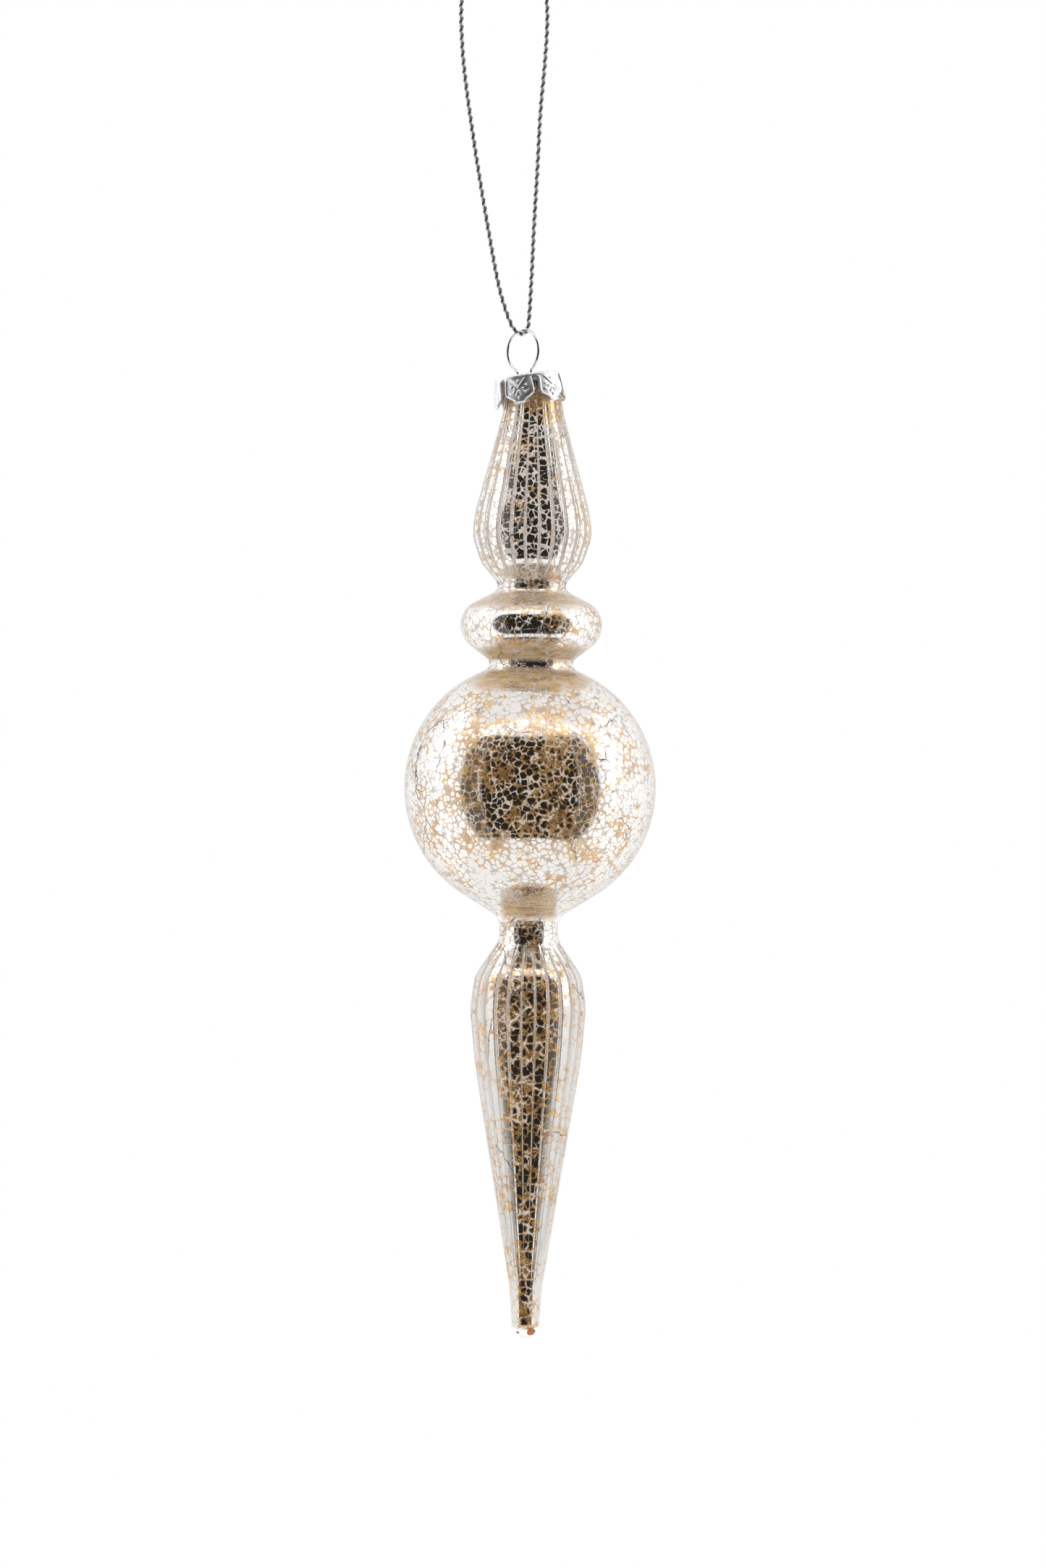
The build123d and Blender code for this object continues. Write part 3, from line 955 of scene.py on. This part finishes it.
def petal_half_width(depth):
    """Half the width of a petal at a depth below the cap's top: full on the band, then its outline."""
    full = skirt_radius(depth) * pi / PETALS - PETAL_BORDER
    below = depth - CAP_CORNER - BAND
    if below <= 0:
        return full
    gap = PETAL_GAP * (1 - (1 - held(below / GAP_ROUND)) ** 2) ** 0.5
    body = full - gap - PETAL_PINCH * cos(pi * below / SHOULDER)
    end = PETAL_LENGTH - CAP_CORNER - BAND
    if below > LOBE:
        return LOBE_HALF_WIDTH * max(LOBE_TIP, 1 - ((below - LOBE) / (end - LOBE)) ** 2) ** 0.5
    if below > SHOULDER:
        t = (below - SHOULDER) / (LOBE - SHOULDER)
        return LOBE_HALF_WIDTH + (body - LOBE_HALF_WIDTH) * (1 + cos(pi * t**LOBE_CURVE)) / 2
    return body


def ridge(distance, height, width):
    """How high a soft ridge is at a distance from its middle."""
    return height * np.exp(-(distance / width) ** 2)


def segment_distance(x, y, a, b):
    """How far points are from a straight stroke."""
    dx, dy = b[0] - a[0], b[1] - a[1]
    t = np.clip(((x - a[0]) * dx + (y - a[1]) * dy) / (dx * dx + dy * dy), 0, 1)
    return np.hypot(x - a[0] - t * dx, y - a[1] - t * dy)


def embossing(x, below, edge):
    """How far the petal's pressed pattern stands out, in millimetres."""
    across = np.abs(x)
    height = ridge(edge - BORDER_INSET, *BORDER)
    for start, stop in STROKES:
        height = np.maximum(height, ridge(segment_distance(across, below, start, stop), *STROKE))
    for (dot_x, dot_y), size in DOTS:
        height = np.maximum(height, ridge(np.hypot(across - dot_x, below - dot_y), DOT_HEIGHT, size))
    curl = np.abs(np.hypot(across - CURL_CENTRE[0], below - CURL_CENTRE[1]) - CURL_RADIUS)
    curl = np.where(below < CURL_TOP, 1.0, curl)
    return np.maximum(height, ridge(curl, *CURL)) - PLAIN_DEPTH


def petal(index):
    """Points and faces of one petal, in the cap's own frame: its outer face, inner face and edge."""
    columns, rows = PETAL_COLUMNS, PETAL_ROWS
    middle = radians(FIRST_PETAL + index * 360 / PETALS)
    share = np.linspace(-1, 1, columns)
    depths = CAP_CORNER + (PETAL_LENGTH - CAP_CORNER) * np.sin(np.linspace(0, pi / 2, rows))
    sheets = [[], []]
    for depth in depths:
        half = petal_half_width(depth)
        x = half * share
        below = depth - CAP_CORNER - BAND
        edge = np.minimum(half - np.abs(x), (PETAL_LENGTH - depth) * 0.9)
        pressed = embossing(x, below, edge) * held(below / PRESSED_FROM)
        pressed = np.where(edge < PLAIN_EDGE, 0.0, pressed)
        curve_out = PETAL_CURVE * sin(pi * held(below / PETAL_CURVE_LENGTH))
        for sheet, inside in zip(sheets, (0.0, SHEET)):
            radius = skirt_radius(depth) + pressed + curve_out - inside
            angle = middle + x / skirt_radius(depth)
            sheet.append(np.stack([radius * np.sin(angle), -radius * np.cos(angle),
                                   np.full(columns, -depth)], axis=1))
    outer, inner = np.concatenate(sheets[0]), np.concatenate(sheets[1])
    count = rows * columns
    faces = grid_faces(rows, columns, False)
    faces += [tuple(i + count for i in reversed(face)) for face in faces]
    rim = [*range(columns), *range(2 * columns - 1, count, columns)]
    rim += [*range(count - 2, count - columns - 1, -1), *range(count - 2 * columns, 0, -columns)]
    faces += [(a, b, b + count, a + count) for a, b in zip(rim, rim[1:] + rim[:1])]
    return np.concatenate([outer, inner]), faces


def cap_top():
    """Points and faces of the cap's round top: a lathed sheet with a pressed step."""
    line = list(TOP_LINE)
    for a in np.linspace(0, pi / 2, CORNER_POINTS):
        line.append((CAP_RADIUS - CAP_CORNER + CAP_CORNER * sin(a), CAP_CORNER * cos(a) - CAP_CORNER))
    foot = (CAP_RADIUS, -CAP_CORNER)
    line[-1] = foot
    flat = TOP_LINE[-1][0]
    inside = [(r - SHEET if r > flat else r, z - SHEET) for r, z in reversed(line[1:])]
    rows = line[1:] + [(foot[0] - SHEET, foot[1])] + inside[1:]
    around = CAP_SIDES
    angles = 2 * pi * np.arange(around) / around
    points = [np.array([[0.0, 0.0, 0.0]])]
    for r, z in rows:
        points.append(np.stack([r * np.cos(angles), r * np.sin(angles), np.full(around, z)], axis=1))
    points.append(np.array([[0.0, 0.0, -SHEET]]))
    points = np.concatenate(points)
    faces = [(0, 1 + j, 1 + (j + 1) % around) for j in range(around)]
    faces += [tuple(1 + i for i in face) for face in grid_faces(len(rows), around, True)]
    last, base = len(points) - 1, 1 + (len(rows) - 1) * around
    faces += [(last, base + (j + 1) % around, base + j) for j in range(around)]
    return points, faces


def hole_places():
    """Where the wire's legs cross the cap's top, in the cap's own frame."""
    centre, along, up = ring_plane()
    into = cap_matrix().inverted()
    places = []
    for side in (-LEG_OFFSET, LEG_OFFSET):
        start = into @ (centre + along * side * MM)
        down = into.to_3x3() @ -up
        places.append(start - down * (start.z / down.z))
    return places


def crown_cap():
    """The pressed cap: its top with two holes, and six embossed petals."""
    points, faces = cap_top()
    cap = mesh_piece("pressed_crown_cap", points * MM, faces)
    face_outward(cap)
    for place in hole_places():
        bpy.ops.mesh.primitive_cylinder_add(vertices=HOLE_SIDES, radius=HOLE_RADIUS * MM,
                                            depth=DRILL_LENGTH * MM, location=(place.x, place.y, 0))
        drill = bpy.context.object
        cut = cap.modifiers.new("hole", "BOOLEAN")
        cut.operation = "DIFFERENCE"
        cut.solver = "EXACT"
        cut.object = drill
        bpy.context.view_layer.objects.active = cap
        bpy.ops.object.modifier_apply(modifier=cut.name)
        bpy.data.objects.remove(drill)
    whole = bmesh.new()
    whole.from_mesh(cap.data)
    for index in range(PETALS):
        points, faces = petal(index)
        made = [whole.verts.new(p * MM) for p in points]
        for face in faces:
            whole.faces.new([made[i] for i in face])
    bmesh.ops.recalc_face_normals(whole, faces=whole.faces)
    whole.to_mesh(cap.data)
    whole.free()
    cap.data.polygons.foreach_set("use_smooth", [True] * len(cap.data.polygons))
    cap.data.transform(cap_matrix())
    cap.data.set_sharp_from_angle(angle=radians(SHARP_ANGLE))
    return cap


# ---------------------------------------------------------------- camera, light and floor

def make_camera():
    """The camera, level and straight in front."""
    data = bpy.data.cameras.new("camera")
    data.sensor_fit = "AUTO"
    data.sensor_width = SENSOR
    data.lens = SENSOR * CAMERA_DISTANCE / VIEW_HEIGHT
    data.clip_start = 0.01
    camera = bpy.data.objects.new("camera", data)
    camera.location = (VIEW_CENTRE[0], -CAMERA_DISTANCE, VIEW_CENTRE[1])
    camera.rotation_euler = (pi / 2, 0, 0)
    bpy.context.scene.collection.objects.link(camera)
    bpy.context.scene.camera = camera


def light_tent():
    """White cloth on all sides and three lamps, with one dark rounded opening in front.

    Only reflections show it: the camera sees plain white, and dull surfaces are lit evenly.
    """
    world = bpy.data.worlds.new("light_tent")
    bpy.context.scene.world = world
    world.use_nodes = True
    world.cycles.sampling_method = "NONE"
    m = Nodes(world.node_tree)
    x, y, z = m.split(m.add("TexCoord").outputs["Generated"])
    turn = m.math("ARCTAN2", x, m.times(y, -1.0))
    sideways = m.size(turn)
    rise = m.math("ARCSINE", z)

    def fade(value, low, high, to_low, to_high):
        return m.remap(value, radians(low), radians(high), to_low, to_high, smooth=True)

    def outside(half_turn, low, high):
        """Nothing inside a rounded rectangle of directions, 1 outside it."""
        wide = m.power(m.over(sideways, radians(half_turn)), OPENING_SQUARENESS)
        tall = m.power(m.over(m.size(rise), radians(OPENING_HALF_RISE)), OPENING_SQUARENESS)
        return m.remap(m.plus(wide, tall), low, high, smooth=True)

    def lamp(at_turn, at_rise, half_turn, half_rise, strength):
        """A soft-edged rounded rectangle of light."""
        across = m.over(m.size(m.minus(turn, radians(at_turn))), radians(half_turn))
        up = m.over(m.size(m.minus(rise, at_rise)), radians(half_rise))
        shape = m.plus(m.power(across, LAMP_SQUARENESS), m.power(up, LAMP_SQUARENESS))
        return m.remap(shape, *LAMP_EDGE, strength, 0.0, smooth=True)

    def choose(factor, a, b):
        node = m.add("Mix", data_type="FLOAT")
        m.put(factor, node.inputs[0])
        m.put(a, node.inputs[2])
        m.put(b, node.inputs[3])
        return node.outputs[0]

    flank = m.times(outside(CORE_HALF_TURN, *CORE_EDGE), FLANK_LIGHT)
    cloth = fade(sideways, *TO_BACK, SIDE_LIGHT, BACK_LIGHT)
    cloth = m.times(outside(OPENING_HALF_TURN, *OPENING_EDGE), cloth)
    cloth = m.times(cloth, fade(rise, *TO_TOP, 1.0, TOP_SHARE))
    slit = fade(m.size(m.minus(sideways, radians(SLIT_TURN))), *SLIT_FADE, SLIT_LIGHT, 0.0)
    slit = m.times(slit, m.minus(1.0, outside(OPENING_HALF_TURN, *SLIT_END)))
    bright = m.plus(m.most(cloth, m.most(flank, slit)), DARK_LIGHT)
    bar_rise = m.minus(radians(BAR_RISE), m.times(m.power(turn, 2.0), BAR_DROOP))
    bright = m.plus(bright, lamp(0, bar_rise, *BAR_LAMP))
    for at_turn, at_rise, *size_and_strength in SIDE_LAMPS:
        bright = m.plus(bright, lamp(at_turn, radians(at_rise), *size_and_strength))

    path = m.add("LightPath")
    bright = choose(m.math("GREATER_THAN", path.outputs["Diffuse Depth"], 0.5), bright, DULL_LIGHT)
    bright = choose(path.outputs["Is Camera Ray"], bright, 1.0)
    back = m.add("Background")
    m.put(m.ramp(bright, WARMTH), back.inputs["Color"])
    m.put(bright, back.inputs["Strength"])
    m.put(back.outputs[0], m.add("OutputWorld").inputs["Surface"])


def pale_floor():
    """A plain pale disc well below the hanging ornament."""
    turns = np.linspace(0, 2 * pi, FLOOR_POINTS, endpoint=False)
    edge = [(FLOOR_RADIUS * cos(a), FLOOR_RADIUS * sin(a), FLOOR_HEIGHT) for a in turns]
    floor = mesh_piece("floor", edge, [tuple(range(FLOOR_POINTS))], smooth=False)
    m = Material("pale_floor")
    m.shade(Base_Color=FLOOR_COLOUR, Roughness=0.9)
    floor.data.materials.append(m.material)


# ---------------------------------------------------------------- the ornament

make_camera()
light_tent()
pale_floor()
bpy.context.scene.view_settings.view_transform = "Standard"

outline = glass_outline()
glass = glass_shell(outline)
lining = silver_lining(outline)
cap = crown_cap()
hanger = hanger_wire()
cord, cord_line = twisted_cord()
knot = cord_knot()

chrome = bright_metal("bright_pressed_metal", *CAP_METAL)
wire_metal = bright_metal("bright_wire", *WIRE_METAL)
threads = [foil_thread("dark_foil_thread", *DARK_THREAD),
           foil_thread("silver_foil_thread", *SILVER_THREAD)]
for piece, materials, body, slot, nodes in (
    (glass, [clear_glass()], "glass", "silvered_glass", ["glass_body"]),
    (lining, [crackled_silver(), amber_lacquer()], "glass", "silver_lining", []),
    (cap, [chrome], "cap", "cap_metal", ["crown_cap"]),
    (hanger, [wire_metal], "hanger", "hanger_wire", ["hanger_spring"]),
    (cord, threads, "cord", "metallic_cord", ["hanging_cord"]),
    (knot, threads, "cord", "metallic_cord", ["cord_knot"]),
):
    for material in materials:
        piece.data.materials.append(material)
    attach(piece, body)
    if nodes:
        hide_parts(*nodes)
